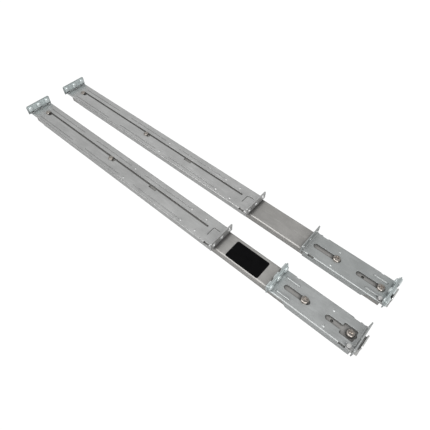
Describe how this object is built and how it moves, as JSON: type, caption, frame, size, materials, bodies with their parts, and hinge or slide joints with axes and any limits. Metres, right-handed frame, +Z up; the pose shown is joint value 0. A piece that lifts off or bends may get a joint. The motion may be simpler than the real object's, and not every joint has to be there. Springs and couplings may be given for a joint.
{
  "type": "sliding server rail pair",
  "caption": "Pair of telescoping ball-bearing rack rails, closed, each with sliding slotted end brackets, upright rack flanges, square pegs and a sprung front hook.",
  "frame": {"origin": "centre of the whole pair's footprint, on the table", "axes": "+X along the rails to the rack's front, +Y from the labelled rail to the other, +Z up"},
  "size_m": [0.6262, 0.1178, 0.0253],
  "materials": {
    "zinc_steel": "zinc plated, satin",
    "channel_steel": "plated, satin, warm grey",
    "cage_steel": "bright strip",
    "ball_steel": "polished",
    "nickel_steel": "nickel plated",
    "blue_zinc": "blue-green passivated zinc",
    "latch_steel": "zinc plated",
    "spring_steel": "spring wire",
    "stop_rubber": "moulded",
    "lever_plastic": "moulded",
    "label_black": "bare foil label"
  },
  "bodies": {
    "channels": {"outer_member_a": "channel_steel", "stop_block_a": "stop_rubber", "rear_stud_a": "nickel_steel", "front_stud_a": "nickel_steel", "rear_screw_a": "nickel_steel", "front_screw_a": "nickel_steel", "outer_member_b": "channel_steel", "stop_block_b": "stop_rubber", "rear_stud_b": "nickel_steel", "front_stud_b": "nickel_steel", "rear_screw_b": "nickel_steel", "front_screw_b": "nickel_steel", "label_a": "label_black"},
    "middle_a": {"middle_member_a": "channel_steel"},
    "inner_a": {"inner_member_a": "channel_steel", "release_pin_a": "nickel_steel", "release_coil_a": "spring_steel"},
    "outer_cage_a": {"outer_cage_a": "cage_steel", "outer_balls_a": "ball_steel"},
    "inner_cage_a": {"inner_cage_a": "cage_steel", "inner_balls_a": "ball_steel"},
    "rear_bracket_a": {"rear_bracket_a": "zinc_steel", "rear_peg_near_a": "blue_zinc", "rear_peg_mid_a": "blue_zinc", "rear_peg_far_a": "blue_zinc", "rear_peg_plate_a": "blue_zinc"},
    "front_bracket_a": {"front_bracket_a": "zinc_steel", "front_peg_near_a": "blue_zinc", "front_peg_mid_a": "blue_zinc", "front_peg_far_a": "blue_zinc", "front_peg_plate_a": "blue_zinc", "latch_rivet_a": "nickel_steel", "latch_coil_a": "spring_steel"},
    "latch_a": {"latch_hook_a": "latch_steel"},
    "release_a": {"release_lever_a": "lever_plastic"},
    "middle_b": {"middle_member_b": "channel_steel"},
    "inner_b": {"inner_member_b": "channel_steel", "release_pin_b": "nickel_steel", "release_coil_b": "spring_steel"},
    "outer_cage_b": {"outer_cage_b": "cage_steel", "outer_balls_b": "ball_steel"},
    "inner_cage_b": {"inner_cage_b": "cage_steel", "inner_balls_b": "ball_steel"},
    "rear_bracket_b": {"rear_bracket_b": "zinc_steel", "rear_peg_near_b": "blue_zinc", "rear_peg_mid_b": "blue_zinc", "rear_peg_far_b": "blue_zinc", "rear_peg_plate_b": "blue_zinc"},
    "front_bracket_b": {"front_bracket_b": "zinc_steel", "front_peg_near_b": "blue_zinc", "front_peg_mid_b": "blue_zinc", "front_peg_far_b": "blue_zinc", "front_peg_plate_b": "blue_zinc", "latch_rivet_b": "nickel_steel", "latch_coil_b": "spring_steel"},
    "latch_b": {"latch_hook_b": "latch_steel"},
    "release_b": {"release_lever_b": "lever_plastic"}
  },
  "joints": [
    {"name": "middle_slide_a", "type": "slide", "parent": "channels", "child": "middle_a", "axis": [1, 0, 0], "range_m": [0, 0.3]},
    {"name": "inner_slide_a", "type": "slide", "parent": "middle_a", "child": "inner_a", "axis": [1, 0, 0], "range_m": [0, 0.3]},
    {"name": "outer_cage_slide_a", "type": "slide", "parent": "channels", "child": "outer_cage_a", "axis": [1, 0, 0], "range_m": [0, 0.15]},
    {"name": "inner_cage_slide_a", "type": "slide", "parent": "middle_a", "child": "inner_cage_a", "axis": [1, 0, 0], "range_m": [0, 0.15]},
    {"name": "rear_bracket_slide_a", "type": "slide", "parent": "channels", "child": "rear_bracket_a", "axis": [1, 0, 0], "range_m": [-0.197, 0]},
    {"name": "front_bracket_slide_a", "type": "slide", "parent": "channels", "child": "front_bracket_a", "axis": [1, 0, 0], "range_m": [0, 0.026]},
    {"name": "latch_pivot_a", "type": "hinge", "parent": "front_bracket_a", "child": "latch_a", "pos_m": [0.30155, -0.0524, 0.0129], "axis": [0, 0, 1], "range_deg": [-28, 0], "stiffness_Nm_per_rad": 0.02, "springref_deg": 5.73},
    {"name": "release_pivot_a", "type": "hinge", "parent": "inner_a", "child": "release_a", "pos_m": [0.24905, -0.0356, 0.0028], "axis": [0, 0, 1], "range_deg": [0, 4], "stiffness_Nm_per_rad": 0.02, "springref_deg": -5.73},
    {"name": "middle_slide_b", "type": "slide", "parent": "channels", "child": "middle_b", "axis": [1, 0, 0], "range_m": [0, 0.3]},
    {"name": "inner_slide_b", "type": "slide", "parent": "middle_b", "child": "inner_b", "axis": [1, 0, 0], "range_m": [0, 0.3]},
    {"name": "outer_cage_slide_b", "type": "slide", "parent": "channels", "child": "outer_cage_b", "axis": [1, 0, 0], "range_m": [0, 0.15]},
    {"name": "inner_cage_slide_b", "type": "slide", "parent": "middle_b", "child": "inner_cage_b", "axis": [1, 0, 0], "range_m": [0, 0.15]},
    {"name": "rear_bracket_slide_b", "type": "slide", "parent": "channels", "child": "rear_bracket_b", "axis": [1, 0, 0], "range_m": [-0.197, 0]},
    {"name": "front_bracket_slide_b", "type": "slide", "parent": "channels", "child": "front_bracket_b", "axis": [1, 0, 0], "range_m": [0, 0.026]},
    {"name": "latch_pivot_b", "type": "hinge", "parent": "front_bracket_b", "child": "latch_b", "pos_m": [0.30155, 0.0216, 0.0129], "axis": [0, 0, 1], "range_deg": [-28, 0], "stiffness_Nm_per_rad": 0.02, "springref_deg": 5.73},
    {"name": "release_pivot_b", "type": "hinge", "parent": "inner_b", "child": "release_b", "pos_m": [0.24905, 0.0384, 0.0028], "axis": [0, 0, 1], "range_deg": [0, 4], "stiffness_Nm_per_rad": 0.02, "springref_deg": -5.73}
  ],
  "couplings": [
    {"joint": "outer_cage_slide_a", "follows": "middle_slide_a", "ratio": 0.5},
    {"joint": "inner_cage_slide_a", "follows": "inner_slide_a", "ratio": 0.5},
    {"joint": "outer_cage_slide_b", "follows": "middle_slide_b", "ratio": 0.5},
    {"joint": "inner_cage_slide_b", "follows": "inner_slide_b", "ratio": 0.5}
  ]
}
